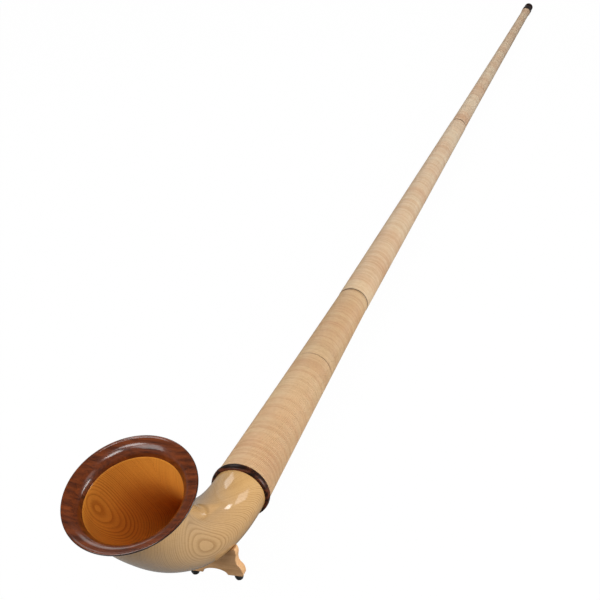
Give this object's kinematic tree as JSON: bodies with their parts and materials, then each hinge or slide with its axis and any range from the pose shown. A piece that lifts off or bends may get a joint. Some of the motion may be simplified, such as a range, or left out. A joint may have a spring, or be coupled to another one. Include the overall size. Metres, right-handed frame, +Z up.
{
  "type": "alphorn",
  "caption": "Long conical wooden alphorn in three sections wound in cane, with an upturned bell on a foot board, a turned rim, and a removable mouthpiece.",
  "frame": {"origin": "on the floor, under the middle of the whole horn", "axes": "+X along the horn toward the mouthpiece, +Z up, the plane y = 0 is the plane of the bend and of the glue seam"},
  "size_m": [3.6418, 0.2502, 0.4283],
  "materials": {
    "bell_spruce": "clear gloss varnish over spruce",
    "core_spruce": "bare spruce",
    "walnut": "clear gloss varnish over walnut",
    "dark_walnut": "satin varnish over dark walnut",
    "cane": "satin peeled rattan cane",
    "foot_wood": "satin varnish over pear wood",
    "rubber": "matt",
    "sleeve": "turned",
    "steel": "plain"
  },
  "bodies": {
    "bell_section": {"bell_half_left": "bell_spruce", "bell_half_right": "bell_spruce", "bell_rim": "walnut", "neck_ring": "dark_walnut", "bell_tube_half_left": "core_spruce", "bell_tube_half_right": "core_spruce", "bell_cane_lower": "cane", "bell_cane_upper": "cane", "bell_socket_sleeve": "sleeve", "foot_board": "foot_wood", "foot_rubber_left": "rubber", "foot_rubber_right": "rubber", "foot_screw_left": "steel", "foot_screw_right": "steel"},
    "middle_section": {"middle_tube_half_left": "core_spruce", "middle_tube_half_right": "core_spruce", "middle_cane": "cane", "middle_tenon_sleeve": "sleeve", "middle_seal_front": "rubber", "middle_seal_back": "rubber", "middle_socket_sleeve": "sleeve"},
    "hand_section": {"hand_tube_half_left": "core_spruce", "hand_tube_half_right": "core_spruce", "hand_cane": "cane", "hand_tenon_sleeve": "sleeve", "hand_seal_front": "rubber", "hand_seal_back": "rubber", "mouth_end_ring": "dark_walnut"},
    "mouthpiece": {"mouthpiece": "dark_walnut"}
  },
  "joints": [
    {"name": "middle_pull", "type": "slide", "parent": "bell_section", "child": "middle_section", "axis": [0.9998, 0, -0.0219], "range_m": [0, 0.1]},
    {"name": "hand_pull", "type": "slide", "parent": "middle_section", "child": "hand_section", "axis": [0.9998, 0, -0.0219], "range_m": [0, 0.1]},
    {"name": "mouthpiece_pull", "type": "slide", "parent": "hand_section", "child": "mouthpiece", "axis": [0.9998, 0, -0.0219], "range_m": [0, 0.07]}
  ]
}
